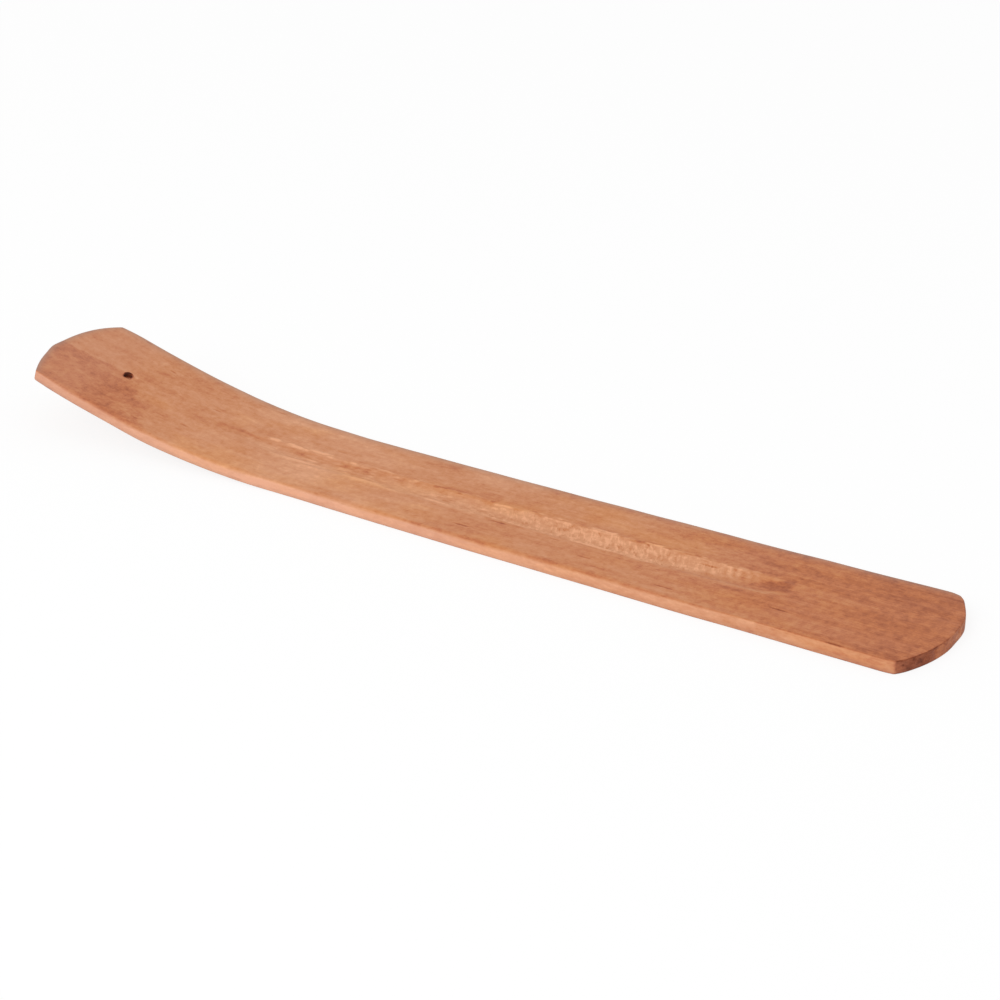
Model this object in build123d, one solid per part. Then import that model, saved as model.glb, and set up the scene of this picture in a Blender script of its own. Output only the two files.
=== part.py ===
"""Incense stick holder: one thin slat of wood with an upturned end.

The slat lies flat on the table for most of its length, then turns up in one long arc. A small hole, drilled
square through the upturned end, holds the stick so that it leans over the slat. A shallow round-bottomed
groove along the middle catches the ash. Both ends are cut to a low round outline, and every edge is eased.

Millimetres. +X runs from the upturned end to the flat end, +Y across the slat and +Z up. The origin is on the
table, under the middle of the slat's box.
"""

import os
from math import atan2, cos, degrees, sin

from build123d import *

# Slat
SLAT_LENGTH = 254.0  # along the underside, from the flat end to the upturned tip
SLAT_WIDTH = 35.5
SLAT_THICKNESS = 3.1
FLAT_LENGTH = 164.0  # straight part of the underside, from the flat end to where the upturn starts
UPTURN_RADIUS = 267.0  # underside of the upturned part
FLAT_END_CROWN = 5.3  # how far the middle of the flat end stands out past its corners
TIP_CROWN = 5.7  # the same at the upturned tip
CORNER_EASE = 0.8  # rounding of the four corners, seen from above
EDGE_EASE = 0.4  # sanded rounding of the rims of the two broad faces

# Stick hole
HOLE_DIAMETER = 2.1
HOLE_FROM_TIP = 21.8  # along the underside, from the upturned tip to the hole's axis

# Ash groove
GROOVE_FROM_FLAT_END = 37.5  # from the flat end to where the groove starts
GROOVE_FROM_TIP = 58.0  # along the underside, from the upturned tip to where the groove fades out
GROOVE_PLUNGE_LENGTH = 11.0  # over which it reaches its full depth, near the flat end
GROOVE_LIFT_LENGTH = 32.0  # over which it rises to the surface again, on the upturn
GROOVE_WIDTH = 8.8  # at its full depth
GROOVE_DEPTH = 0.8  # its full depth, near the flat end
GROOVE_LIFT_DEPTH = 0.5  # its depth where it starts to rise, because the tool climbs a little on the way

# Cutting allowances
OVERRUN = 2.0  # how far stock and cutters pass beyond the faces that they make
RUN_OUT_SHARE = 2.0  # length of a groove run-out's arc, as a share of the part that is inside the wood


def side_point(distance, height):
    """Point of the slat's side view, as X and Z.

    The distance is along the underside from the flat end, and the height is square to the underside there.
    """
    straight = min(distance, FLAT_LENGTH)
    turn = (distance - straight) / UPTURN_RADIUS
    radius = UPTURN_RADIUS - height
    return Vector(-straight - radius * sin(turn), UPTURN_RADIUS - radius * cos(turn))


def place_on_slat(distance):
    """Plane on the underside, with its Z axis through the wood and its X axis towards the flat end."""
    foot = side_point(distance, 0)
    across = (side_point(distance, SLAT_THICKNESS) - foot).normalized()
    return Plane(origin=(foot.X, 0, foot.Y), x_dir=(across.Y, 0, -across.X), z_dir=(across.X, 0, across.Y))


def bent_strip():
    """Square-ended strip, a little over length: the slat's side view carried across its width."""
    start = -OVERRUN
    finish = SLAT_LENGTH + OVERRUN
    upturn = (FLAT_LENGTH, (FLAT_LENGTH + finish) / 2, finish)
    outline = [
        Line(side_point(start, 0), side_point(FLAT_LENGTH, 0)),
        ThreePointArc(*[side_point(distance, 0) for distance in upturn]),
        Line(side_point(finish, 0), side_point(finish, SLAT_THICKNESS)),
        ThreePointArc(*[side_point(distance, SLAT_THICKNESS) for distance in reversed(upturn)]),
        Line(side_point(FLAT_LENGTH, SLAT_THICKNESS), side_point(start, SLAT_THICKNESS)),
        Line(side_point(start, SLAT_THICKNESS), side_point(start, 0)),
    ]
    return extrude(Plane.XZ * make_face(outline), SLAT_WIDTH / 2, both=True)


def end_waste(crown):
    """What is cut away outside an end's round outline: the end's middle is at the origin and +X points out."""
    half = SLAT_WIDTH / 2
    back = crown + CORNER_EASE + OVERRUN
    outline = [
        ThreePointArc((-crown, half), (0, 0), (-crown, -half)),
        Polyline((-crown, -half), (-back, -half), (-back, half), (-crown, half)),
    ]
    square = make_face(outline)
    kept = fillet(square.vertices().group_by(Axis.X)[-1], CORNER_EASE)
    past_strip = 2 * OVERRUN
    block = Rectangle(back + past_strip, SLAT_WIDTH + past_strip, align=(Align.MAX, Align.CENTER))
    return extrude(Pos(past_strip, 0) * block - kept, SLAT_THICKNESS + OVERRUN, both=True)


def eased_slat():
    """The strip with its ends cut round, and the rims of its two broad faces sanded."""
    flat_end = place_on_slat(0)
    tip = place_on_slat(SLAT_LENGTH)
    tip_outwards = Plane(origin=tip.origin, x_dir=-tip.x_dir, z_dir=tip.z_dir)
    slat = bent_strip() - flat_end * end_waste(FLAT_END_CROWN) - tip_outwards * end_waste(TIP_CROWN)
    edges = slat.edges()
    seams = edges.filter_by(Axis.Y)
    uprights = edges.filter_by(Axis.Z) + edges.filter_by(Axis(tip.origin, tip.z_dir))
    return fillet(edges - seams - uprights, EDGE_EASE)


def run_out(start, heading, surface, nose):
    """Arc of the tool's middle from the groove's floor out of the wood, in the side view.

    The floor leaves the start point along the heading, and curves up through the point on the surface. The tool's
    middle runs a nose radius inside that curve.
    """
    upwards = Vector(-heading.Y, heading.X) if heading.X > 0 else Vector(heading.Y, -heading.X)
    reach = surface - start
    rise = reach.dot(upwards)
    radius = reach.dot(reach) / (2 * rise)
    turn = degrees(2 * atan2(rise, reach.dot(heading))) * RUN_OUT_SHARE
    anticlockwise = turn if heading.X > 0 else -turn
    return JernArc(start + upwards * nose, heading, radius - nose, anticlockwise)


def groove_cutter():
    """Round-nosed tool swept along the groove: in near the flat end, along the flat and out on the upturn."""
    nose = (GROOVE_WIDTH**2 / 4 + GROOVE_DEPTH**2) / (2 * GROOVE_DEPTH)
    tip_side = SLAT_LENGTH - GROOVE_FROM_TIP
    enters = side_point(GROOVE_FROM_FLAT_END, SLAT_THICKNESS)
    leaves = side_point(tip_side, SLAT_THICKNESS)
    deepest = side_point(GROOVE_FROM_FLAT_END + GROOVE_PLUNGE_LENGTH, SLAT_THICKNESS - GROOVE_DEPTH)
    lift_start = side_point(tip_side - GROOVE_LIFT_LENGTH, SLAT_THICKNESS - GROOVE_LIFT_DEPTH)

    along = (lift_start - deepest).normalized()
    plunge = run_out(deepest, -along, enters, nose)
    lift = run_out(lift_start, along, leaves, nose)
    path = Plane.XZ * Wire([plunge, Line(plunge @ 0, lift @ 0), lift])
    section = Plane(origin=path @ 0, z_dir=path % 0) * Circle(nose)
    return sweep(section, path=path)


def stick_hole():
    """Drill that passes square through the upturned end."""
    drill = Cylinder(HOLE_DIAMETER / 2, 2 * (SLAT_THICKNESS + OVERRUN))
    return place_on_slat(SLAT_LENGTH - HOLE_FROM_TIP) * drill


def wooden_slat():
    """The whole holder, with the origin under the middle of its box."""
    slat = eased_slat() - groove_cutter() - stick_hole()
    box = slat.bounding_box()
    return Pos(-box.center().X, 0, -box.min.Z) * slat


def main():
    os.makedirs("parts", exist_ok=True)
    slat = wooden_slat()
    slat.label = "wooden_slat"
    export_step(slat, "parts/wooden_slat.step")
    print("length, width, height:", [round(side, 2) for side in slat.bounding_box().size])


if __name__ == "__main__":
    main()
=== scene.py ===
"""Looks for the incense stick holder: one thin slat of reddish wood that turns up at one end.

The slat is worked out in the flat, as distances along it from the tip, across it and up from its underside,
and is then carried onto its bent side view. Sizes are in millimetres until the mesh is made, and in metres
after that. +X runs from the upturned tip to the flat end, +Y across the slat to its far edge and +Z up.
"""

import logging
import math
from collections.abc import Mapping
from dataclasses import dataclass, field
from enum import Enum

import bpy
import numpy as np
from mathutils import Euler, Matrix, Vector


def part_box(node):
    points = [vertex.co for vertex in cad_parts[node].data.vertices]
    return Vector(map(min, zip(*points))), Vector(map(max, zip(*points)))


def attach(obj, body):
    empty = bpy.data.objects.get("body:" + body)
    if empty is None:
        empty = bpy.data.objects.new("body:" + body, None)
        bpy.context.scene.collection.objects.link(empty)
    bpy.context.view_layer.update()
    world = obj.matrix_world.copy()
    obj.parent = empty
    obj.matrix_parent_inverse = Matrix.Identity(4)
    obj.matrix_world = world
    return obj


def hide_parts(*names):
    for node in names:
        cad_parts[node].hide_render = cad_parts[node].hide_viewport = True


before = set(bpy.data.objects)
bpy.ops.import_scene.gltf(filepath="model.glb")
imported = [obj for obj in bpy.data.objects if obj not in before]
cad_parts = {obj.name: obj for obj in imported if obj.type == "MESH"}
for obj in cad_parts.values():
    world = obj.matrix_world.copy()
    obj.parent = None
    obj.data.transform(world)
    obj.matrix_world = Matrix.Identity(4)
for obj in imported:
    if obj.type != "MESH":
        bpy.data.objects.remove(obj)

MM = 0.001  # metres in a millimetre
WHITE = (1.0, 1.0, 1.0, 1.0)

log = logging.getLogger("incense_holder")


def smooth_rise(value: np.ndarray, low: float, high: float) -> np.ndarray:
    """Smooth step from 0 at low to 1 at high: 3t^2 - 2t^3 of the clamped share t of the way between them.

    Args:
        value: Numbers to grade.
        low: Where the step starts; it may be the larger of the two.
        high: Where the step ends.

    Returns:
        Shares between 0 and 1, in the shape of value.
    """
    share = np.clip((value - low) / (high - low), 0.0, 1.0)
    return share * share * (3.0 - 2.0 * share)


def bell(value: np.ndarray, middle: float | np.ndarray, spread: float) -> np.ndarray:
    """Bell curve of height 1: e to the minus square of the distance from the middle over the spread."""
    return np.exp(-(((value - middle) / spread) ** 2))


@dataclass(frozen=True)
class Span:
    """A stretch that comes in between its start and full, and goes out between fading and gone."""

    start: float
    full: float
    fading: float
    gone: float

    def share(self, value: np.ndarray) -> np.ndarray:
        """How much of the stretch there is at each value, 0 to 1."""
        return smooth_rise(value, self.start, self.full) * smooth_rise(value, self.gone, self.fading)


@dataclass(frozen=True)
class Hump:
    """A bell-shaped rise, or a hollow where its height is below 0."""

    height: float
    middle: float
    spread: float

    def at(self, value: np.ndarray) -> np.ndarray:
        """Its height at each value."""
        return self.height * bell(value, self.middle, self.spread)


def heights(humps: tuple[Hump, ...], value: np.ndarray, base: float = 0.0) -> np.ndarray:
    """Heights of several humps at each value, added up on a base."""
    return sum((hump.at(value) for hump in humps), start=base)


class LatticeNoise:
    """Smooth noise between -1 and 1, from seeded knots on a square lattice."""

    KNOTS = 256

    def __init__(self, seed: int) -> None:
        """Draws the knots from the seed."""
        self.knots = np.random.default_rng(seed).uniform(-1.0, 1.0, (self.KNOTS, self.KNOTS))

    def at(self, u: np.ndarray, v: np.ndarray | float) -> np.ndarray:
        """Noise at points: the four knots round each point, joined both ways by the curve 3t^2 - 2t^3.

        Args:
            u: First coordinate, one unit per knot.
            v: Second coordinate, one unit per knot.

        Returns:
            Noise in the common shape of u and v.
        """
        u, v = np.broadcast_arrays(np.asarray(u, float), np.asarray(v, float))
        column, row = np.floor(u).astype(int), np.floor(v).astype(int)
        across, up = smooth_rise(u - column, 0.0, 1.0), smooth_rise(v - row, 0.0, 1.0)
        left, right = column % self.KNOTS, (column + 1) % self.KNOTS
        low, high = row % self.KNOTS, (row + 1) % self.KNOTS
        below = self.knots[left, low] * (1.0 - across) + self.knots[right, low] * across
        above = self.knots[left, high] * (1.0 - across) + self.knots[right, high] * across
        return below * (1.0 - up) + above * up

    def line(self, along: np.ndarray, long: float, row: float) -> np.ndarray:
        """Noise along one row of the lattice, in lumps of a length."""
        return self.at(along / long, row)

    def lumps(self, along: np.ndarray, across: np.ndarray, long: float, wide: float, row: float = 0.0,
              column: float = 0.0) -> np.ndarray:
        """Noise in lumps of a length and a width.

        Args:
            along: Places along the lumps.
            across: Places across them, of a shape that goes with along.
            long: Length of a lump.
            wide: Width of a lump.
            row: Row of the lattice at 0 across.
            column: Column of the lattice at 0 along.

        Returns:
            Noise in the common shape of along and across.
        """
        return self.at(along / long + column, across / wide + row)


class Mark(Enum):
    """Point attributes of the slat that its finish reads."""

    FRESH = "fresh_cut"  # raw floor of the groove, barred with painted light and shade of the ribs
    TORN = "torn_fibre"  # pale chips and painted highlights along the groove's rims
    DARK = "dark_patch"  # dark places: a knot, the groove's dark bands, and painted shade and shadows by rims, arrises and ribs
    EDGE = "sawn_edge"  # the two long edges
    END = "end_grain"  # the two end faces; in the hole, painted shade high on the wall and painted light deep down
    RIM = "handled_rim"  # painted shade on the far and tip rims


def rim_of(grid: np.ndarray) -> np.ndarray:
    """The outer points of a grid of rows along the slat, anticlockwise seen from above."""
    return np.concatenate([grid[:-1, 0], grid[-1, :-1], grid[:0:-1, -1], grid[0, :0:-1]])


@dataclass
class MeshStock:
    """Points, faces and marks of one mesh while it is being put together."""

    points: list[np.ndarray] = field(default_factory=list)
    faces: list[np.ndarray] = field(default_factory=list)
    marks: dict[Mark, list[np.ndarray]] = field(default_factory=lambda: {mark: [] for mark in Mark})
    count: int = 0

    def add(self, along: np.ndarray, across: np.ndarray, height: np.ndarray,
            marks: Mapping[Mark, np.ndarray | float] | None = None) -> np.ndarray:
        """Adds points given in the flat.

        Args:
            along: Distances from the tip.
            across: Distances from the middle line.
            height: Distances from the underside.
            marks: Values of the marks there; a mark that is left out is 0.

        Returns:
            The points' numbers, in the common shape of the three.
        """
        along, across, height = np.broadcast_arrays(along, across, height)
        self.points.append(np.stack([along.ravel(), across.ravel(), height.ravel()], -1))
        for mark, values in self.marks.items():
            value = (marks or {}).get(mark, 0.0)
            values.append(np.broadcast_to(value, along.shape).ravel())
        numbers = self.count + np.arange(along.size).reshape(along.shape)
        self.count += along.size
        return numbers

    def skin(self, numbers: np.ndarray, keep: np.ndarray | None = None) -> None:
        """Covers a grid of points with four-sided faces, each from a point to the next row's and back round.

        Args:
            numbers: Grid of point numbers; a face's front is to the left of rows crossed by columns.
            keep: Which cells to cover; all of them if it is left out.
        """
        corners = np.stack([numbers[:-1, :-1], numbers[1:, :-1], numbers[1:, 1:], numbers[:-1, 1:]], -1)
        self.faces.append(corners[np.ones(corners.shape[:2], bool) if keep is None else keep].reshape(-1, 4))


@dataclass(frozen=True)
class Bend:
    """The slat's side view: a straight run from the flat end, then one arc up to the tip."""

    length: float
    flat_length: float
    radius: float
    end_x: float

    def place(self, flat: np.ndarray) -> np.ndarray:
        """Carries points from the flat onto the bent slat.

        The distance from the flat end is split into a straight part, no longer than the flat run, and the
        rest, which divided by the radius is the turn. The reach is the radius less the height. X is the end's
        X less the straight part and less the reach times the sine of the turn, and Z is the radius less the
        reach times the cosine of the turn.

        Args:
            flat: Rows of distance along from the tip, distance across and height.

        Returns:
            Rows of X, Y and Z.
        """
        distance = self.length - flat[:, 0]
        straight = np.minimum(distance, self.flat_length)
        turn = (distance - straight) / self.radius
        reach = self.radius - flat[:, 2]
        x = self.end_x - straight - reach * np.sin(turn)
        return np.stack([x, flat[:, 1], self.radius - reach * np.cos(turn)], -1)


@dataclass
class Outline:
    """The slat's outline seen from above: two long edges, two low round ends and four small corners.

    It is stored as a loop of feet, which follow the outline a corner's radius inside it, and of unit arrows
    that point outwards. The loop runs along the near edge from the tip, across the flat end, back along the
    far edge and across the tip.
    """

    length: float
    width: float
    tip_crown: float
    flat_end_crown: float
    corner: float
    fan: int = 3  # points that each side of a corner takes
    fine_along: tuple[float, float] = (57.0, 220.0)  # from the tip; the groove lies between
    fine_across: tuple[float, float] = (-7.6, 5.6)  # the same across the slat
    cells_along: tuple[int, int, int] = (70, 330, 34)  # before, in and past the fine stretch
    cells_across: tuple[int, int, int] = (13, 44, 16)
    foot: np.ndarray = field(init=False)
    arrow: np.ndarray = field(init=False)
    end: np.ndarray = field(init=False)  # how far each arrow looks out of an end, 0 to 1
    run: np.ndarray = field(init=False)  # place of each foot along its own side
    rows: int = field(init=False)
    columns: int = field(init=False)

    def __post_init__(self) -> None:
        """Joins the four sides, which share their corner points, into the loop."""
        half = self.width / 2 - self.corner
        across = self.spaced((-half, *self.fine_across, half), self.cells_across)
        tip_foot, tip_arrow = self.round_end(across, self.tip_crown, -1.0)
        flat_foot, flat_arrow = self.round_end(across, self.flat_end_crown, 1.0)
        along = self.spaced((tip_foot[0, 0], *self.fine_along, flat_foot[0, 0]), self.cells_along)
        near_foot, far_foot = (np.stack([along, np.full_like(along, y)], -1) for y in (-half, half))
        near_arrow, far_arrow = (np.tile((0.0, side), (len(along), 1)) for side in (-1.0, 1.0))
        near = self.with_fans(near_foot, near_arrow, tip_arrow[0], flat_arrow[0])
        far = self.with_fans(far_foot, far_arrow, tip_arrow[-1], flat_arrow[-1])
        tip = self.with_fans(tip_foot, tip_arrow, near_arrow[0], far_arrow[0])
        flat = self.with_fans(flat_foot, flat_arrow, near_arrow[-1], far_arrow[-1])
        self.rows, self.columns = len(near[0]), len(tip[0])
        self.foot, self.arrow = (
            np.concatenate([near[k][:-1], flat[k][:-1], far[k][:0:-1], tip[k][:0:-1]]) for k in (0, 1)
        )
        self.end = np.abs(self.arrow[:, 0]) ** 2
        self.run = self.foot[:, 0] * (1.0 - self.end) + self.foot[:, 1] * self.end

    @staticmethod
    def spaced(stops: tuple[float, ...], cells: tuple[int, ...]) -> np.ndarray:
        """Points from the first stop to the last, with so many even cells between each two stops."""
        runs = [np.linspace(a, b, n, endpoint=False) for a, b, n in zip(stops, stops[1:], cells)]
        return np.concatenate([*runs, stops[-1:]])

    def round_end(self, across: np.ndarray, crown: float, side: float) -> tuple[np.ndarray, np.ndarray]:
        """One round end: an arc of radius (half width^2 + crown^2) / (2 crown), centred on the middle line.

        Args:
            across: Where the feet are, across the slat.
            crown: How far the end's middle stands out past its corners.
            side: -1 for the tip and 1 for the flat end.

        Returns:
            The feet and the arrows.
        """
        radius = ((self.width / 2) ** 2 + crown**2) / (2.0 * crown)
        inner = radius - self.corner
        reach = side * np.sqrt(inner**2 - across**2)
        middle = radius if side < 0 else self.length - radius
        return np.stack([middle + reach, across], -1), np.stack([reach, across], -1) / inner

    def with_fans(self, foot: np.ndarray, arrow: np.ndarray, before: np.ndarray,
                  after: np.ndarray) -> tuple[np.ndarray, np.ndarray]:
        """A side with its half of each corner: the foot stays, and the arrow turns halfway to the next one's.

        Args:
            foot: Feet of the side.
            arrow: Arrows of the side.
            before: The next side's arrow at the first corner.
            after: The next side's arrow at the last corner.

        Returns:
            The feet and the arrows, with the corner points added at both ends.
        """
        share = np.linspace(0.0, 1.0, self.fan, endpoint=False)[:, None]
        first, last = ((own + other) / np.linalg.norm(own + other) for own, other in
                       ((arrow[0], before), (arrow[-1], after)))
        opening = (1.0 - share) * first + share * arrow[0]
        closing = ((1.0 - share) * last + share * arrow[-1])[::-1]
        arrows = np.concatenate([opening, arrow, closing])
        feet = np.concatenate([np.tile(foot[0], (self.fan, 1)), foot, np.tile(foot[-1], (self.fan, 1))])
        return feet, arrows / np.linalg.norm(arrows, axis=1, keepdims=True)

    def fill(self, loop: np.ndarray) -> np.ndarray:
        """Grid of points inside a loop: the blend of its four sides, less the blend of its four corners.

        Args:
            loop: Points round the outline, in the loop's order.

        Returns:
            Grid of rows along the slat by columns across it.
        """
        rows, columns = self.rows, self.columns
        near, flat = loop[:rows], loop[rows - 1:rows + columns - 1]
        far = loop[rows + columns - 2:2 * rows + columns - 2][::-1]
        tip = np.concatenate([loop[2 * rows + columns - 3:], loop[:1]])[::-1]
        u, v = (self.shares(side)[:, None] for side in (near, tip))
        u, v = u[:, None], v[None]
        sides = (1 - v) * near[:, None] + v * far[:, None] + (1 - u) * tip[None] + u * flat[None]
        corners = (1 - u) * ((1 - v) * near[0] + v * far[0]) + u * ((1 - v) * near[-1] + v * far[-1])
        return sides - corners

    @staticmethod
    def shares(side: np.ndarray) -> np.ndarray:
        """Share of a side's whole length that lies before each of its points."""
        steps = np.concatenate([[0.0], np.linalg.norm(np.diff(side, axis=0), axis=1).cumsum()])
        return steps / steps[-1]


@dataclass
class AshGroove:
    """The round-bottomed groove that catches the ash, cut by hand with a round-nosed tool.

    Places along it are distances from the flat end, and places across it are distances from the slat's middle
    line, below 0 on the near side.
    """

    slat_length: float
    from_flat_end: float = 37.5
    from_tip: float = 58.0
    plunge: float = 11.0
    lift: float = 32.0
    width: float = 8.8
    depth: float = 0.8
    lift_depth: float = 0.5
    aside: float = -1.05  # how far its middle line strays to the near side
    sway: Hump = Hump(-0.25, 110.0, 35.0)  # how much further it strays halfway along
    pinch: Hump = Hump(-0.6, 51.0, 9.0)  # what its near half lacks where the tool settles in
    seed: int = 41

    # Marks of the tool
    wave_length: float = 2.3  # of the ribs that it leaves
    rib_height: float = 0.028
    rib_end: tuple[float, float] = (95.0, 58.0)  # where the ribs are gone, and where they start to fade
    rib_shade: Hump = Hump(0.6, 50.0, 6.0)  # painted shade in the first hollows between them
    fleck_depth: float = 0.035
    lip_height: float = 0.05  # how far pale torn fibres stand up
    rag_height: float = 0.05  # how far the near rim is broken
    far_rag_height: float = 0.06  # how much further the far rim is
    rag_reach: float = 0.13  # how deep below the face a rim is broken
    softness: float = 0.03  # rounding of both rims
    worn_softness: float = 0.13  # how much more the near rim is rounded
    near_wear: tuple[float, float] = (40.0, 92.0)  # over which that comes in

    # Raw floor
    raw_start: tuple[float, float] = (43.2, 54.5)  # where it comes in on the far side
    raw_lag: float = 3.1  # how much further along that is for each millimetre to the near side
    raw_end: tuple[float, float] = (162.0, 98.0)  # where wear has taken it away, and where wear starts
    raw_peak: Hump = Hump(0.35, 84.0, 13.0)  # where it is palest
    raw_rib_shading: Hump = Hump(0.5, 49.0, 8.0)  # where the painted light and shade of the ribs is strongest in it
    wall_wear: tuple[float, float] = (106.0, 142.0)  # over which the far wall loses it
    wall_worn: float = 2.6  # how much of the far wall that takes

    # Torn fibres and painted rim highlights
    tear_run: Span = Span(112.0, 122.0, 172.0, 186.0)  # tears of the worn floor
    far_lip_run: Span = Span(45.0, 54.0, 187.0, 197.0)  # pale dashes and painted highlight on the far rim
    far_lip_gaps: tuple[Hump, ...] = (Hump(-0.75, 133.0, 14.0), Hump(-0.3, 157.0, 8.0))
    near_lip_run: Span = Span(44.0, 52.0, 178.0, 190.0)  # soft pale line on the near rim, partly painted light on the shaded near wall
    plunge_end: tuple[float, float] = (50.0, 44.5)  # where the plunge's lips are gone, and start to fade

    # Dark places, and painted shadows under the far rim
    dark_line_run: Span = Span(42.0, 48.0, 188.0, 200.0)  # line past the far rim
    dark_line_peak: Hump = Hump(1.2, 157.0, 12.0)
    wall_run: Span = Span(114.0, 126.0, 190.0, 208.0)  # dark far wall
    wall_end: Hump = Hump(0.9, 190.5, 4.5)
    torn_shadow_run: Span = Span(48.0, 53.0, 160.0, 182.0)  # painted shadows of torn fibres under the far rim
    near_line: Hump = Hump(1.0, 52.0, 8.0)  # line past the near rim
    tongue_place: float = 41.0  # from where the narrowing of the plunge's tongue is counted

    def __post_init__(self) -> None:
        """Makes the noises of the cut."""
        noises = (LatticeNoise(self.seed + k) for k in range(5))
        self.chatter, self.rag, self.chip, self.patch, self.dash = noises

    def floor(self, distance: np.ndarray) -> np.ndarray:
        """Depth along the middle line: a parabola in, an even climb, and a parabola out.

        Args:
            distance: Distances from the flat end.

        Returns:
            Depths, below 0 beyond the groove's two ends.
        """
        deepest = self.from_flat_end + self.plunge
        leaving = self.slat_length - self.from_tip
        rising = leaving - self.lift
        run = self.depth + (self.lift_depth - self.depth) * (distance - deepest) / (rising - deepest)
        going_in = self.depth * (1.0 - ((deepest - distance) / self.plunge) ** 2)
        coming_out = self.lift_depth * (1.0 - ((distance - rising) / self.lift) ** 2)
        return np.where(distance < deepest, going_in, np.where(distance > rising, coming_out, run))

    def middle(self, distance: np.ndarray) -> np.ndarray:
        """Where the middle line is, across the slat: aside, and a little more so halfway along."""
        return self.aside + self.sway.at(distance)

    def near_half(self, distance: np.ndarray) -> np.ndarray:
        """Half the width on the near side: a little less where the tool settles in."""
        return self.width / 2 + self.pinch.at(distance)

    def rims(self, distance: np.ndarray) -> tuple[np.ndarray, np.ndarray]:
        """Where the rims are: half the width times the root of the depth's share, each side of the middle.

        Args:
            distance: Distances from the flat end.

        Returns:
            Distances across of the near and the far rim; they meet beyond the groove's ends.
        """
        middle = self.middle(distance)
        share = np.sqrt(np.clip(self.floor(distance) / self.depth, 0.0, None))
        return middle - self.near_half(distance) * share, middle + self.width / 2 * share

    def carve(self, along: np.ndarray, across: np.ndarray) -> tuple[np.ndarray, dict[Mark, np.ndarray]]:
        """Depth of the groove at points of the top face, and the marks that the tool left, with painted light
        and shade.

        The clean cut is the floor's depth less a parabola across it, which is as deep as the groove at half
        its width. Noise drawn out along the slat breaks its rim, most of all the far one. Low ribs run across
        its floor, with flecks between them and painted shade in the first hollows. What is below 0 is then
        cut off softly, and pale torn fibres stand up a little.

        Args:
            along: Distances from the tip.
            across: Distances from the middle line.

        Returns:
            Depths and the marks' values.
        """
        distance = self.slat_length - along
        beside = across - self.middle(distance)
        side = beside / np.where(beside < 0.0, self.near_half(distance), self.width / 2)
        clean = self.floor(distance) - self.depth * side**2
        far = smooth_rise(side, -0.2, 0.5)
        inside = smooth_rise(clean, 0.05, 0.25)
        rag = self.rag.lumps(distance, across, long=2.6, wide=0.55)
        broken = bell(clean, 0.0, self.rag_reach) * rag * (self.rag_height + self.far_rag_height * far)
        ribs = self.ribs(distance, side)
        flecks = smooth_rise(self.chip.lumps(distance, across, long=1.3, wide=0.6), 0.45, 0.9)
        cut = clean + broken + inside * (self.rib_height * ribs - self.fleck_depth * flecks)
        tears = self.tears(distance, across)
        pale = self.pale_lips(distance, across) + 0.9 * np.clip(tears, 0.0, None)
        # painted shade in the ribs' first hollows
        rib_shading = np.clip(-ribs, 0.0, None) * inside * self.rib_shade.at(distance)
        dark = self.dark_bands(distance, across) + rib_shading + 0.8 * np.clip(-tears, 0.0, None)
        soft = self.softness + self.worn_softness * (1.0 - far) * smooth_rise(distance, *self.near_wear)
        depth = 0.5 * (cut + np.sqrt(cut**2 + soft**2)) - self.lip_height * np.clip(pale, 0.0, 1.0)
        fresh = self.fresh_floor(distance, across, cut, ribs)
        return depth, {Mark.FRESH: fresh, Mark.TORN: pale, Mark.DARK: dark}

    def ribs(self, distance: np.ndarray, side: np.ndarray) -> np.ndarray:
        """Ribs of a chattering tool: a sine along the slat whose phase and strength wander.

        Args:
            distance: Distances from the flat end.
            side: Shares of half the width, from the groove's middle.

        Returns:
            Values from -1 to 1.
        """
        phase = 2.2 * self.chatter.line(distance, long=8.0, row=0.5) + 1.1 * side**2 - 6.6 * side
        window = smooth_rise(self.patch.lumps(distance, side, long=9.0, wide=1.6), -0.45, 0.35)
        wave = np.sin(2 * np.pi * distance / self.wave_length + phase)
        return wave * window * smooth_rise(distance, *self.rib_end)

    def fresh_floor(self, distance: np.ndarray, across: np.ndarray, cut: np.ndarray,
                    ribs: np.ndarray) -> np.ndarray:
        """Share of raw wood: the floor from past the plunge to where it is worn, with painted light and shade
        of the ribs.

        It starts further along on the near side, and the worn far wall cuts it short.

        Args:
            distance: Distances from the flat end.
            across: Distances from the middle line.
            cut: Depth of the ragged cut.
            ribs: The ribs of the tool.

        Returns:
            Shares: 0 for none, and about 1 for raw wood.
        """
        worn_wall = self.rims(distance)[1] - self.wall_worn * smooth_rise(distance, *self.wall_wear)
        ragged = 0.9 * self.chip.lumps(distance, across, long=2.8, wide=0.8, row=20.0)
        reach = smooth_rise(worn_wall - across + ragged, -0.9, 0.7)
        lag = self.raw_lag * np.clip(1.5 - across, 0.0, 6.0)
        uneven = 2.0 * self.chip.line(across, long=0.9, row=7.5)
        starting = smooth_rise(distance - lag + uneven, *self.raw_start)
        worn = smooth_rise(distance, *self.raw_end) * (1.0 + self.raw_peak.at(distance))
        ragged_cut = cut + 0.07 * self.chip.lumps(distance, across, long=3.0, wide=0.9, row=120.0)
        # painted light and shade in stripes along the ribs
        rib_shading = 1.0 + (0.5 + self.raw_rib_shading.at(distance)) * ribs
        return smooth_rise(ragged_cut, 0.0, 0.14) * reach * starting * worn * rib_shading

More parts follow.
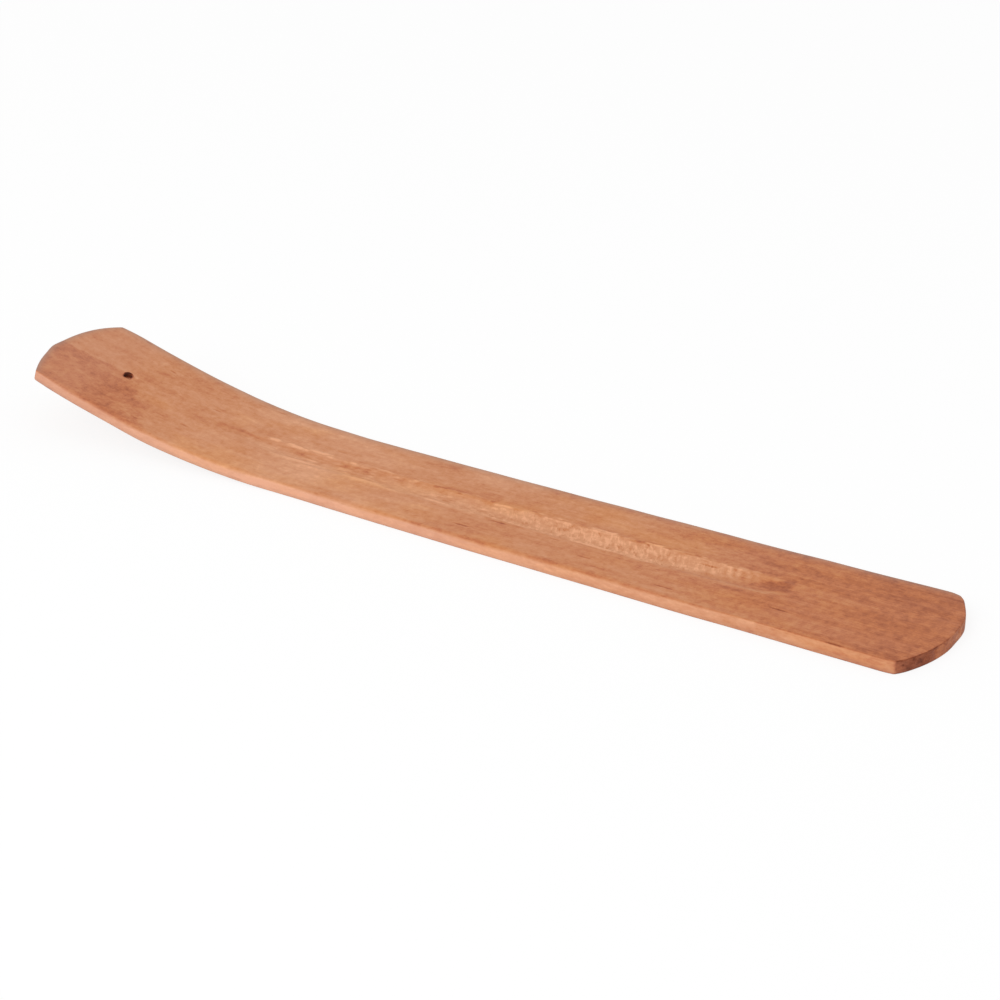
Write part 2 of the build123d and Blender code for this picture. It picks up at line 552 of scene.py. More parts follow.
    def tears(self, distance: np.ndarray, across: np.ndarray) -> np.ndarray:
        """Tears of the worn floor: patches of noise, above 0 where fibres stand up and below 0 in holes.

        Args:
            distance: Distances from the flat end.
            across: Distances from the middle line.

        Returns:
            Values of about -1 to 1.
        """
        near_rim, far_rim = self.rims(distance)
        patches = smooth_rise(self.patch.lumps(distance, across, long=5.0, wide=3.0, row=90.5), -0.4, 0.4)
        between = smooth_rise(across - near_rim, 0.5, 1.5) * smooth_rise(far_rim - across, 0.0, 0.8)
        fibres = self.chip.lumps(distance, across, long=2.1, wide=0.6, row=155.0)
        return 1.3 * patches * self.tear_run.share(distance) * between * fibres

    def pale_lips(self, distance: np.ndarray, across: np.ndarray) -> np.ndarray:
        """Pale lines along the rims, torn fibres with painted highlights: dashes on the far one and a soft
        line on the near one.

        The plunge has a pale lip of painted highlight on each side, and the near one runs outwards as the
        groove widens. The near line is partly painted light on the shaded near wall.

        Args:
            distance: Distances from the flat end.
            across: Distances from the middle line.

        Returns:
            How pale, about 0 to 1.
        """
        near_rim, far_rim = self.rims(distance)
        wander = 0.35 * self.rag.line(distance, long=6.0, row=12.5)
        dashes = self.dash.lumps(distance, across, long=2.4, wide=0.55)
        dashes = smooth_rise(dashes + 0.2 * smooth_rise(distance, 138.0, 150.0), 0.0, 0.5)
        dashes = dashes * (0.95 + 0.6 * self.chip.lumps(distance, across, long=1.1, wide=0.7, row=190.0))
        far_run = self.far_lip_run.share(distance) * heights(self.far_lip_gaps, distance, base=1.0)
        far_middle = far_rim + 0.1 + 0.4 * smooth_rise(distance, 150.0, 170.0) + wander
        # pale torn fibres on the far rim, with painted highlight
        far_lip = bell(across, far_middle, 0.6) * (0.1 + 1.9 * dashes) * far_run
        near_run = 0.05 + 0.65 * smooth_rise(distance, 66.0, 92.0) + 0.2 * smooth_rise(distance, 122.0, 150.0)
        broken = 1.0 + 1.3 * self.dash.lumps(distance, across, long=6.0, wide=1.1, row=45.0)
        # pale line on the near rim, partly painted light on the shaded near wall
        near_lip = bell(across, near_rim + 0.3 + wander, 1.1) * near_run * np.clip(broken, 0.0, None)
        near_lip = near_lip * self.near_lip_run.share(distance)
        near_start = bell(across, -2.7 - 0.25 * (distance - 40.5), 0.9) * smooth_rise(distance, 38.0, 40.0)
        far_start = bell(across, 3.3, 0.7) * smooth_rise(distance, 41.0, 42.5)
        # painted highlight along both rims of the plunge
        plunge = (0.75 * near_start + 0.3 * far_start) * smooth_rise(distance, *self.plunge_end)
        return far_lip + near_lip + plunge

    def dark_bands(self, distance: np.ndarray, across: np.ndarray) -> np.ndarray:
        """Dark places: lines past the rims, a dark far wall, painted shadows of torn fibres under the far
        rim, and the tongue.

        Args:
            distance: Distances from the flat end.
            across: Distances from the middle line.

        Returns:
            How dark, about 0 to 1.
        """
        near_rim, far_rim = self.rims(distance)
        uneven = 0.65 + 0.5 * self.patch.line(distance, long=6.0, row=31.5)
        dark_line = (0.5 + self.dark_line_peak.at(distance)) * bell(across, far_rim + 1.2, 0.8) * uneven
        dark_line = dark_line * self.dark_line_run.share(distance)
        wall_middle = 2.2 - 2.2 * smooth_rise(distance, 122.0, 176.0)
        wall = (0.4 + 0.75 * smooth_rise(distance, 140.0, 188.0)) * bell(across, wall_middle, 1.15)
        wall = wall * (0.85 + 0.4 * self.chip.lumps(distance, across, long=5.0, wide=0.8, row=70.0))
        wall = wall * self.wall_run.share(distance) + bell(across, 0.4, 0.75) * self.wall_end.at(distance)
        # painted shadows of torn fibres under the far rim
        pits = smooth_rise(self.dash.lumps(distance, across, long=2.3, wide=0.6, row=60.5), 0.25, 0.7)
        pits = pits * bell(across, far_rim, 0.9) * self.torn_shadow_run.share(distance)
        near_line = bell(across, near_rim - 1.4, 0.9) * self.near_line.at(distance)
        return dark_line + wall + 1.5 * pits + near_line + self.tongue(distance, across)

    def tongue(self, distance: np.ndarray, across: np.ndarray) -> np.ndarray:
        """Dark tongue where the tool went in: a ragged wedge that narrows along the slat, with a spot beside.

        Args:
            distance: Distances from the flat end.
            across: Distances from the middle line.

        Returns:
            How dark, 0 to about 1.5.
        """
        ragged = across + 0.7 * self.chip.line(distance, long=1.6, row=90.5)
        onward = distance - self.tongue_place
        wedge = smooth_rise(np.abs(ragged - 0.6 + 0.15 * onward) + 0.28 * onward, 3.1, 2.0)
        spot = 0.35 * bell(ragged, 3.7, 0.8) * smooth_rise(distance, 44.0, 42.0)
        begun = smooth_rise(distance - 0.15 * across, 38.1, 39.3)
        return 1.1 * (wedge + spot) * begun * smooth_rise(distance, 49.0, 45.0)


@dataclass
class StickHole:
    """The small drilled hole for the stick, with a lip worn by sticks.

    Angles round it are in radians, from the flat end's direction towards the far edge.
    """

    from_tip: float = 21.8
    diameter: float = 2.1
    lip: float = 0.26
    lean_wear: float = 0.45  # how much wider the lip is where sticks lean on it
    lean_angle: float = 2.1
    lean_spread: float = 0.9
    notch: Hump = Hump(0.5, -0.45, 0.35)  # widening of the lip on the near side, by the angle
    hole_shade: float = 2.6  # how deep the painted shade high in the hole is, in the end grain's tone, next to the end faces
    lip_shade: float = 0.9  # the same painted shade on the lip
    room: float = 2.6  # how far the patch of faces round the hole reaches
    chip_place: tuple[float, float] = (2.3, 0.8)  # the pale chip, from the hole's middle
    chip_slant: tuple[float, float] = (0.68, 0.73)  # cosine and sine of the angle that it slants by

    def cells(self, plan: np.ndarray) -> tuple[slice, slice]:
        """The block of a grid's points that the hole's patch takes up.

        Args:
            plan: Grid of distances along and across.

        Returns:
            Rows and columns of the block.
        """
        off = np.abs(plan[:, plan.shape[1] // 2, 0] - self.from_tip)
        rows = np.flatnonzero(off < self.room)
        columns = np.flatnonzero(np.abs(plan[off.argmin(), :, 1]) < self.room)
        return slice(rows[0], rows[-1] + 1), slice(columns[0], columns[-1] + 1)

    def chip(self, along: np.ndarray, across: np.ndarray) -> np.ndarray:
        """Pale chip beside the hole, towards the flat end: a long bell times a short one, on slanted axes.

        Args:
            along: Distances from the tip.
            across: Distances from the middle line.

        Returns:
            How pale, 0 to 1.7.
        """
        onward, aside = along - self.from_tip - self.chip_place[0], across - self.chip_place[1]
        cosine, sine = self.chip_slant
        long, short = cosine * onward - sine * aside, sine * onward + cosine * aside
        return 1.7 * bell(long, 0.0, 0.6) * bell(short, 0.0, 0.4)

    def rings(self, loop: np.ndarray) -> tuple[np.ndarray, np.ndarray, np.ndarray]:
        """Rings of points from a loop round the hole down to its wall.

        Each ring lies a share of the way from the loop to a circle that is met in the same direction, and the
        last ones are the lip, whose drop is a quarter of an ellipse. The lip is widest where sticks lean on
        it, on the tip's far side, and at a notch on the near side.

        Args:
            loop: Points round the patch, along and across.

        Returns:
            The rings' points, from the outside in, how far they lie below the face and how deep in tone,
            which is painted shade on the lip and the wall.
        """
        ray = loop - (self.from_tip, 0.0)
        reach = np.linalg.norm(ray, axis=1)
        ray = ray / reach[:, None]
        angle = np.arctan2(ray[:, 1], ray[:, 0])
        uneven = 1.0 + 0.03 * np.sin(2.0 * angle + 0.7) + 0.02 * np.sin(5.0 * angle)
        wall = self.diameter / 2 * uneven
        leaning = bell(angle, self.lean_angle, self.lean_spread)
        lip = self.lip + self.lean_wear * leaning + self.notch.at(angle)
        shares = np.array((0.3, 0.6, 0.85))[:, None]
        turns = np.radians((0.0, 30.0, 60.0, 90.0))[:, None]
        outer = reach * (1.0 - shares) + (wall + lip) * shares
        radii = np.concatenate([outer, wall + lip * (1.0 - np.sin(turns))])
        drops = np.concatenate([np.zeros_like(outer), (self.lip + lip) / 2 * (1.0 - np.cos(turns))])
        deep = np.full_like(drops, self.hole_shade)
        # painted shade on the lip, most where sticks lean, and on the wall
        deep[:3], deep[3:5] = 0.0, self.lip_shade * (1.0 + 2.6 * leaning)
        return np.array((self.from_tip, 0.0)) + radii[..., None] * ray, drops, deep


class Wire:
    """One output of a node, with sums that add Math nodes."""

    def __init__(self, sheet: "NodeSheet", socket: bpy.types.NodeSocket) -> None:
        """Keeps the sheet that the node is on, and the socket."""
        self.sheet = sheet
        self.socket = socket

    def maths(self, operation: str, *terms: "Wire | float") -> "Wire":
        """A Math node on the terms."""
        return self.sheet.node("ShaderNodeMath", {"operation": operation}, dict(enumerate(terms)))

    def __add__(self, other: "Wire | float") -> "Wire":
        """This plus the other."""
        return self.maths("ADD", self, other)

    def __radd__(self, other: float) -> "Wire":
        """The other plus this."""
        return self.maths("ADD", other, self)

    def __sub__(self, other: "Wire | float") -> "Wire":
        """This less the other."""
        return self.maths("SUBTRACT", self, other)

    def __rsub__(self, other: float) -> "Wire":
        """The other less this."""
        return self.maths("SUBTRACT", other, self)

    def __mul__(self, other: "Wire | float") -> "Wire":
        """This times the other."""
        return self.maths("MULTIPLY", self, other)

    def __rmul__(self, other: float) -> "Wire":
        """The other times this."""
        return self.maths("MULTIPLY", other, self)

    def sine(self) -> "Wire":
        """The sine of this, in radians."""
        return self.maths("SINE", self)

    def rise(self, low: float, high: float) -> "Wire":
        """Smooth step from 0 at low to 1 at high, as a Map Range node.

        Args:
            low: Where the step starts; it may be the larger of the two.
            high: Where the step ends.

        Returns:
            The share, 0 to 1.
        """
        sockets = {"Value": self, "From Min": low, "From Max": high, "To Min": 0.0, "To Max": 1.0}
        if low > high:
            sockets |= {"From Min": high, "From Max": low, "To Min": 1.0, "To Max": 0.0}
        return self.sheet.node("ShaderNodeMapRange", {"interpolation_type": "SMOOTHSTEP"}, sockets)

    def within(self, span: Span) -> "Wire":
        """How much of a stretch there is at this value, 0 to 1."""
        return self.rise(span.start, span.full) * self.rise(span.gone, span.fading)

    def other(self, name: str) -> "Wire":
        """Another output of the same node."""
        return Wire(self.sheet, self.socket.node.outputs[name])


class NodeSheet:
    """A node tree that is filled node by node."""

    def __init__(self, tree: bpy.types.NodeTree) -> None:
        """Takes the tree over and clears it."""
        self.tree = tree
        tree.nodes.clear()

    def node(self, kind: str, settings: Mapping[str, object] | None = None,
             sockets: Mapping[str | int, object] | None = None, output: str | int = 0) -> Wire:
        """Adds a node.

        Args:
            kind: The node's type.
            settings: Its settings, set first; "stops" are a ramp's places and colours.
            sockets: Values or wires of its inputs, by name or number.
            output: The output to return.

        Returns:
            The output as a wire; a node with no output gives a wire without a socket.
        """
        made = self.tree.nodes.new(kind)
        for name, value in (settings or {}).items():
            if name == "stops":
                self.set_stops(made.color_ramp, value)
            else:
                setattr(made, name, value)
        for name, value in (sockets or {}).items():
            if isinstance(value, Wire):
                self.tree.links.new(value.socket, made.inputs[name])
            else:
                made.inputs[name].default_value = value
        return Wire(self, made.outputs[output] if len(made.outputs) else None)

    @staticmethod
    def set_stops(ramp: bpy.types.ColorRamp, stops: tuple) -> None:
        """Gives a ramp its stops.

        Args:
            ramp: The ramp of a new Color Ramp node.
            stops: Places and colours, two or more.
        """
        while len(ramp.elements) < len(stops):
            ramp.elements.new(1.0)
        for element, (place, colour) in zip(ramp.elements, stops):
            element.position = place
            element.color = colour

    def vector(self, operation: str, *terms: object) -> Wire:
        """A Vector Math node on the terms."""
        return self.node("ShaderNodeVectorMath", {"operation": operation}, dict(enumerate(terms)))

    def colour_mix(self, under: object, over: object, share: object, how: str = "MIX") -> Wire:
        """A Mix node on two colours."""
        settings = {"data_type": "RGBA", "blend_type": how}
        return self.node("ShaderNodeMix", settings, {0: share, 6: under, 7: over}, 2)

    def noise(self, place: Wire, detail: float, roughness: float = 0.5) -> Wire:
        """A Noise node, one unit to a lump, about 0.5 in the middle."""
        return self.node("ShaderNodeTexNoise", {}, {"Vector": place, "Scale": 1.0, "Detail": detail,
                                                    "Roughness": roughness})

    def lumps(self, place: Wire, count: tuple[float, float, float], detail: float,
              roughness: float = 0.5) -> Wire:
        """A Noise node with so many lumps to a millimetre along X, Y and Z."""
        return self.noise(self.vector("MULTIPLY", place, count), detail, roughness)

    def axes(self, place: Wire) -> tuple[Wire, Wire, Wire]:
        """The X, Y and Z of a place."""
        x = self.node("ShaderNodeSeparateXYZ", {}, {0: place})
        return x, x.other("Y"), x.other("Z")

    def mark(self, mark: Mark) -> Wire:
        """The value of a mark."""
        return self.node("ShaderNodeAttribute", {"attribute_name": mark.value}, {}, "Fac")


def painted(red: int, green: int, blue: int) -> tuple[float, float, float, float]:
    """A colour as it is seen on a screen, turned into the linear light that Blender takes.

    Args:
        red: Red, 0 to 255.
        green: Green, 0 to 255.
        blue: Blue, 0 to 255.

    Returns:
        Red, green and blue light and an alpha of 1.
    """
    seen = np.array((red, green, blue)) / 255.0
    light = np.where(seen <= 0.04045, seen / 12.92, ((seen + 0.055) / 1.055) ** 2.4)
    return (*map(float, light), 1.0)


@dataclass(frozen=True)
class ReddishWood:
    """Sanded, unvarnished reddish wood.

    Its colour runs along one scale, the tone, from pale fresh-cut wood at 0 to deep red-brown wood at 1.
    Growth, fibres, pores, the marks of the tool and painted light and shade move the tone up or down. Pairs
    and spans of places are along X, in millimetres, and a noise has so many lumps to a millimetre along X, Y
    and Z.
    """

    name: str = "reddish_wood"
    deepest: float = 1.6  # the tone of the last stop
    tones: tuple[tuple[float, tuple[int, int, int]], ...] = (
        (0.00, (230, 168, 127)),
        (0.25, (212, 151, 110)),
        (0.40, (205, 141, 100)),
        (0.55, (199, 132, 87)),
        (0.75, (187, 113, 72)),
        (1.00, (155, 84, 52)),
        # the last two stops serve mostly the painted shade in the hole
        (1.30, (115, 49, 16)),
        (1.60, (70, 24, 4)),
    )
    orange: tuple[int, int, int] = (255, 250, 234)
    pink: tuple[int, int, int] = (253, 252, 255)
    hazed: tuple[int, int, int] = (198, 142, 119)
    sawn: tuple[int, int, int] = (218, 162, 137)
    # colour of the painted shade on the far and tip rims
    shaded_rim: tuple[int, int, int] = (162, 137, 124)

    # Tone of the board
    palest: float = 0.40
    deeper: tuple[tuple[float, float, float], ...] = (  # by how much, from where and to where
        (0.12, -50.0, 20.0),
        (0.30, 30.0, 118.0),
        (0.13, -62.0, -95.0),
    )
    slanted_patch: Span = Span(50.0, 78.0, 100.0, 118.0)  # deeper towards the far edge
    pale_patch: Span = Span(-14.0, -2.0, 10.0, 24.0)  # on the far side
    deep_patch: Span = Span(45.0, 55.0, 75.0, 85.0)  # on the far side
    pale_bend: Span = Span(-62.0, -52.0, -38.0, -30.0)
    halo: Span = Span(13.0, 13.7, 14.0, 15.4)  # beside the dark layer, across the slat

    # Grain
    coarse_end: tuple[float, float] = (55.0, 95.0)  # where the fibres get stronger
    calm_end: tuple[float, float] = (60.0, 90.0)  # where the mottle gets weaker
    calm_tip: tuple[float, float] = (-90.0, -106.0)  # the same at the tip
    open_end: tuple[float, float] = (70.0, 95.0)  # where there are more large pores

    # Tints
    pink_run: tuple[float, float] = (15.0, -10.0)  # where the wood gets pinker
    pink_tip: tuple[float, float] = (-70.0, -100.0)  # and pinker still
    hazed_tip: tuple[float, float] = (-100.0, -114.0)
    sawn_run: tuple[float, float] = (70.0, -10.0)  # where the sawn edges get paler
    lean: float = 119.0  # degrees from X to the strokes of the groove's tool

    def material(self) -> bpy.types.Material:
        """The finish as a material, from Object coordinates and the slat's marks.

        Returns:
            The material.
        """
        made = bpy.data.materials.new(self.name)
        made.use_nodes = True
        sheet = NodeSheet(made.node_tree)
        place = sheet.node("ShaderNodeTexCoord", {}, {}, "Object")
        place = sheet.vector("MULTIPLY", place, (1.0 / MM,) * 3)
        x = sheet.axes(place)[0]
        fibres = self.fibres(sheet, place) * (1.0 + 0.6 * x.rise(*self.coarse_end))
        pores = self.pores(sheet, place)
        calm = 1.0 - 0.25 * x.rise(*self.calm_tip) - 0.45 * x.rise(*self.calm_end)
        mottle = self.mottle(sheet, place) * calm
        tone = self.growth(sheet, place) + fibres + mottle + 0.26 * pores + self.tool_tone(sheet, place)
        matt = 0.25 * sheet.mark(Mark.END).rise(0.6, 1.6) + 0.25 * sheet.mark(Mark.FRESH)
        rough = 0.62 + 0.9 * fibres + 0.12 * pores + matt + 0.2 * sheet.mark(Mark.TORN)
        relief = 0.6 * fibres + 0.3 * mottle - 0.35 * pores
        bump = sheet.node("ShaderNodeBump", {}, {"Strength": 0.35, "Distance": 0.4 * MM, "Height": relief})
        shader = sheet.node("ShaderNodeBsdfPrincipled", {}, {
            "Base Color": self.coloured(sheet, place, tone), "Roughness": rough, "Normal": bump,
            "Specular IOR Level": 0.3})
        sheet.node("ShaderNodeOutputMaterial", {}, {"Surface": shader})
        return made

    def coloured(self, sheet: NodeSheet, place: Wire, tone: Wire) -> Wire:
        """Colour of the tone, tinted in clouds from orange to pink, then hazed and bleached by films, and
        greyed by painted shade on the far and tip rims.

        Args:
            sheet: The sheet to add to.
            place: Millimetres.
            tone: The tone.

        Returns:
            The colour.
        """
        x = sheet.axes(place)[0]
        stops = tuple((at / self.deepest, painted(*colour)) for at, colour in self.tones)
        scale = tone * (1.0 / self.deepest)
        colour = sheet.node("ShaderNodeValToRGB", {"stops": stops}, {"Fac": scale}, "Color")
        pinkness = sheet.lumps(place, (0.045, 0.10, 0.10), 2.0) + 0.14 * sheet.mark(Mark.FRESH)
        pinkness = pinkness + 0.1 * x.rise(*self.pink_run) + 0.1 * x.rise(*self.pink_tip)
        tint = sheet.colour_mix(painted(*self.orange), painted(*self.pink), pinkness.rise(0.36, 0.64))
        colour = sheet.colour_mix(colour, tint, 1.0, "MULTIPLY")
        films = (
            (self.hazed, 0.2 * x.rise(*self.hazed_tip) * sheet.mark(Mark.END).rise(0.8, 0.2)),
            (self.sawn, (0.15 + 0.4 * x.rise(*self.sawn_run)) * sheet.mark(Mark.EDGE)),
            # painted shade on the far and tip rims
            (self.shaded_rim, 0.58 * sheet.mark(Mark.RIM)),
        )
        for film, share in films:
            colour = sheet.colour_mix(colour, painted(*film), share)
        return colour

    def growth(self, sheet: NodeSheet, place: Wire) -> Wire:
        """Tone of the board itself: pale in the middle, deep at the flat end, with one dark layer at the tip.

        The layer is where both a height and a side are passed, each moved by noise that is drawn out along X,
        and it has a pale halo on its far side. A few patches along the board are paler or deeper.

        Args:
            sheet: The sheet to add to.
            place: Millimetres.

        Returns:
            The tone.
        """
        x, y, z = sheet.axes(place)
        tone = sum((much * x.rise(low, high) for much, low, high in self.deeper), start=self.palest)
        flame = sheet.lumps(place, (0.14, 0.30, 0.30), 3.0, 0.6) - 0.5
        height, side = z - 0.15 * y + 4.0 * flame, y - 0.12 * x + 3.0 * flame
        upturned = height.rise(9.9, 11.0)
        layer = upturned * (0.2 * side.rise(13.6, 12.9) - 0.05 * side.within(self.halo))
        slanted = x.within(self.slanted_patch) * (0.0045 * y - 0.03)
        pale = 0.09 * x.within(self.pale_patch) * y.rise(3.0, 6.0) + 0.055 * x.within(self.pale_bend)
        deep = 0.06 * x.within(self.deep_patch) * y.rise(4.0, 6.0)
        cloud = sheet.lumps(place, (0.03, 0.12, 0.12), 2.0) - 0.5
        ring = (y * 0.9 + z * 0.5 + 26.0 * cloud).sine()
        return tone + layer + slanted - pale + deep + 0.26 * cloud + 0.012 * ring

    def mottle(self, sheet: NodeSheet, place: Wire) -> Wire:
        """Cloudy patches of all sizes from a centimetre down to a quarter of a millimetre.

        Args:
            sheet: The sheet to add to.
            place: Millimetres.

        Returns:
            The patches' part of the tone, about 0 in the middle and stronger on the far side.
        """
        far_half = sheet.axes(place)[1].rise(3.0, 8.0)
        clouds = sheet.lumps(place, (0.075, 0.2, 0.2), 5.0, 0.72) - 0.5
        return (0.82 + 0.24 * far_half) * clouds

    def fibres(self, sheet: NodeSheet, place: Wire) -> Wire:
        """Streaks along the slat: coarse ones a millimetre or two wide and fine ones of a third of that.

        Args:
            sheet: The sheet to add to.
            place: Millimetres.

        Returns:
            The streaks' part of the tone, about 0 in the middle.
        """
        coarse = sheet.lumps(place, (0.022, 0.55, 0.55), 3.0)
        fine = sheet.lumps(place, (0.09, 2.6, 2.6), 3.0)
        return 0.22 * (coarse - 0.5) + 0.14 * (fine - 0.5)

    def pores(self, sheet: NodeSheet, place: Wire) -> Wire:
        """Open pores: short dark dashes along the slat, round the points of two stretched Voronoi patterns.

        Args:
            sheet: The sheet to add to.
            place: Millimetres.

        Returns:
            0 outside the pores and up to about 1 in them.
        """
        small, large = (
            sheet.node("ShaderNodeTexVoronoi", {}, {
                "Vector": sheet.vector("MULTIPLY", place, lumps), "Scale": 1.0}, "Distance")
            for lumps in ((0.28, 1.7, 1.7), (0.06, 0.42, 0.42))
        )
        open_wood = sheet.lumps(place, (0.05, 0.14, 0.14), 1.0)
        open_wood = open_wood + 0.08 * sheet.axes(place)[0].rise(*self.open_end)
        return 0.5 * small.rise(0.24, 0.10) + 1.1 * large.rise(0.19, 0.07) * open_wood.rise(0.48, 0.58)

    def leaning(self, sheet: NodeSheet, place: Wire, long: float, short: float) -> Wire:
        """Coordinates of strokes that lean across the slat, in stroke lengths and widths.

        Args:
            sheet: The sheet to add to.
            place: Millimetres.
            long: Length of a stroke.
            short: Width of a stroke.

        Returns:
            The coordinates.
        """
        turn = (0.0, 0.0, math.radians(self.lean))
        sizes = {"Vector": place, "Rotation": turn, "Scale": (long, short, short)}
        return sheet.node("ShaderNodeMapping", {"vector_type": "TEXTURE"}, sizes)

    def tool_tone(self, sheet: NodeSheet, place: Wire) -> Wire:
        """What sawing and cutting do to the tone, with painted light and shade.

        Fresh cuts are paler and flecked with torn fibres, and end grain and dark places are deeper. Torn
        fibres also carry painted highlights, and dark places, the hole and the far and tip rims carry painted
        shade in part.

        Args:
            sheet: The sheet to add to.
            place: Millimetres.

        Returns:
            The tools' part of the tone.
        """
        chips = sheet.noise(self.leaning(sheet, place, long=2.6, short=0.9), 2.0, 0.6)
        pits = sheet.noise(self.leaning(sheet, place, long=3.0, short=0.9), 2.0, 0.65)
        fresh = 0.28 * pits.rise(0.55, 0.72) - 0.25 * chips.rise(0.43, 0.70) - 0.255
        # pale torn fibres with painted highlights, and dark places with painted shade and shadows
        pale_and_dark = -0.32 * sheet.mark(Mark.TORN) + 0.22 * sheet.mark(Mark.DARK)
        blotches = sheet.lumps(place, (0.5, 0.5, 1.0), 3.0, 0.75) - 0.5
        # end grain, and in the hole painted shade high up and painted light deep down
        end = 1.5 * blotches * sheet.mark(Mark.END).maths("MINIMUM", 1.0) + 0.38 * sheet.mark(Mark.END)
        patches = sheet.lumps(place, (0.2, 0.4, 0.6), 3.0, 0.75) - 0.5
        edge = (1.1 * patches - 0.26) * sheet.mark(Mark.EDGE)
        # the last term is painted shade on the far and tip rims
        return fresh * sheet.mark(Mark.FRESH) + pale_and_dark + edge + end + 0.05 * sheet.mark(Mark.RIM)


@dataclass
class CarvedSlat:
    """The whole holder: the slat with its groove, its hole and its eased rims.

    Places along it are distances from the flat end, and places across it are distances from the middle line.
    """

    name: str = "carved_slat"
    node: str = "wooden_slat"
    length: float = 254.0
    width: float = 35.5
    thickness: float = 3.1
    flat_length: float = 164.0
    upturn_radius: float = 267.0
    tip_crown: float = 5.7
    flat_end_crown: float = 5.3
    corner: float = 0.9
    ease: float = 0.34
    low_ease_share: float = 0.8  # rounding of the lower rims, as a share of the upper ones'
    wear_width: float = 2.2  # how much wider than high the wear of the near upper rim is
    thick_end: float = 0.16  # how much thicker the flat end is
    thick_run: tuple[float, float] = (58.0, 36.0)  # over which that comes in
    knot_place: tuple[float, float] = (-11.3, 1.5)  # dark knot of the flat end's face, across and up
    seed: int = 17
    finish: ReddishWood = field(default_factory=ReddishWood)

    # How far the hand-cut outline stands out past the true one
    near_out: float = 0.2
    near_waves: tuple[Hump, ...] = (
        Hump(-1.25, 163.0, 26.0),
        Hump(-0.35, 120.0, 32.0),
        Hump(0.15, 210.0, 9.0),
        Hump(-0.3, 226.0, 13.0),
        Hump(0.2, 153.0, 11.0),
    )
    far_waves: tuple[Hump, ...] = (
        Hump(0.65, 6.0, 17.0),
        Hump(-0.9, 130.0, 62.0),
        Hump(-0.25, 192.0, 16.0),
        Hump(0.25, 226.0, 12.0),
        Hump(-1.5, 252.5, 6.5),
    )
    flat_end_out: float = 0.08
    flat_end_waves: tuple[Hump, ...] = (Hump(-0.15, 2.0, 3.0), Hump(0.1, 8.0, 4.0))
    flat_end_slant: tuple[float, float] = (7.0, 16.0)  # over which its far side is set back
    flat_end_back: float = 0.6  # by how much
    tip_point: Hump = Hump(0.36, -5.0, 2.6)
    tip_slant: tuple[float, float] = (-1.0, 18.0)  # over which the tip's far side comes forward
    tip_forward: float = 1.35  # by how much
    tip_back: float = 0.5  # how far the tip's near side is set back
    end_reach: float = 14.0  # how far into the slat an end's shift reaches
    blunt_reach: float = 1.6  # how far from a corner of the flat end it is blunted
    blunt_near: float = 0.25
    blunt_far: float = 0.5

    def __post_init__(self) -> None:
        """Makes the slat's outline, bend, groove, hole and noises."""
        end_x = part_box(self.node)[1].x / MM
        self.bend = Bend(self.length, self.flat_length, self.upturn_radius, end_x)
        self.outline = Outline(self.length, self.width, self.tip_crown, self.flat_end_crown, self.corner)
        self.groove = AshGroove(self.length)
        self.hole = StickHole()
        self.swell, self.wear, self.saw, self.notch = (LatticeNoise(self.seed + k) for k in range(4))

    def top(self, along: np.ndarray, across: np.ndarray) -> tuple[np.ndarray, dict[Mark, np.ndarray]]:
        """Height of the top face: the thickness and a low swell, more at the flat end, less the groove.

        Args:
            along: Distances from the tip.
            across: Distances from the middle line.

        Returns:
            Heights and marks.
        """
        carved, marks = self.groove.carve(along, across)
        marks[Mark.TORN] = marks[Mark.TORN] + self.hole.chip(along, across)
        swell = 0.035 * self.swell.lumps(along, across, long=23.0, wide=9.0) - 0.02
        swell = swell + self.thick_end * smooth_rise(self.length - along, *self.thick_run)
        return self.thickness + swell - carved, marks

    def underside(self, along: np.ndarray, across: np.ndarray) -> np.ndarray:
        """Height of the underside: a low swell of noise that never goes below the table."""
        return 0.03 + 0.03 * self.swell.lumps(along, across, long=19.0, wide=8.0, column=50.0)

    def stock(self) -> MeshStock:
        """The slat's points and faces in the flat: two broad faces, the band round them and the hole.

        Returns:
            The stock.
        """
        stock = MeshStock()
        foot, arrow = self.outline.foot, self.outline.arrow
        above, below = self.eases()
        worn = self.worn_rim()
        top_plan, low_plan = (
            self.strayed(self.outline.fill(foot + arrow * (self.corner - ease)[:, None]))
            for ease in (above + self.wear_width * worn, below)
        )
        height, marks = self.top(top_plan[..., 0], top_plan[..., 1])
        low_height = self.underside(low_plan[..., 0], low_plan[..., 1])
        rows, columns = self.hole.cells(top_plan)
        keep = np.ones((self.outline.rows - 1, self.outline.columns - 1), bool)
        keep[rows.start:rows.stop - 1, columns.start:columns.stop - 1] = False
        # painted shade on the top face by the far edge and the tip
        marks[Mark.RIM] = self.shaded_top_rim(top_plan)
        top = stock.add(top_plan[..., 0], top_plan[..., 1], height, marks)
        low = stock.add(low_plan[..., 0], low_plan[..., 1], low_height)
        stock.skin(top, keep)
        stock.skin(low[:, ::-1], keep[:, ::-1])
        self.add_band(stock, (top, low), (height, low_height), (above, below, worn))
        self.add_hole(stock, (top, low), (top_plan, low_plan), (rows, columns))
        return stock

    def eases(self) -> tuple[np.ndarray, np.ndarray]:
        """Radii of the rounded rims at each foot: uneven, and blunter below at the tip's near corner.

        Returns:
            Radii of the upper and of the lower rims.
        """
        foot = self.outline.foot
        above = 1.0 + 0.45 * self.wear.lumps(*foot.T, long=9.0, wide=9.0)
        below = 1.0 + 0.35 * self.wear.lumps(*foot.T, long=13.0, wide=9.0, column=90.0)
        blunt = 0.2 * bell(np.linalg.norm(foot - foot[0], axis=1), 0.0, 3.0)
        return self.ease * above, self.low_ease_share * self.ease * below + blunt

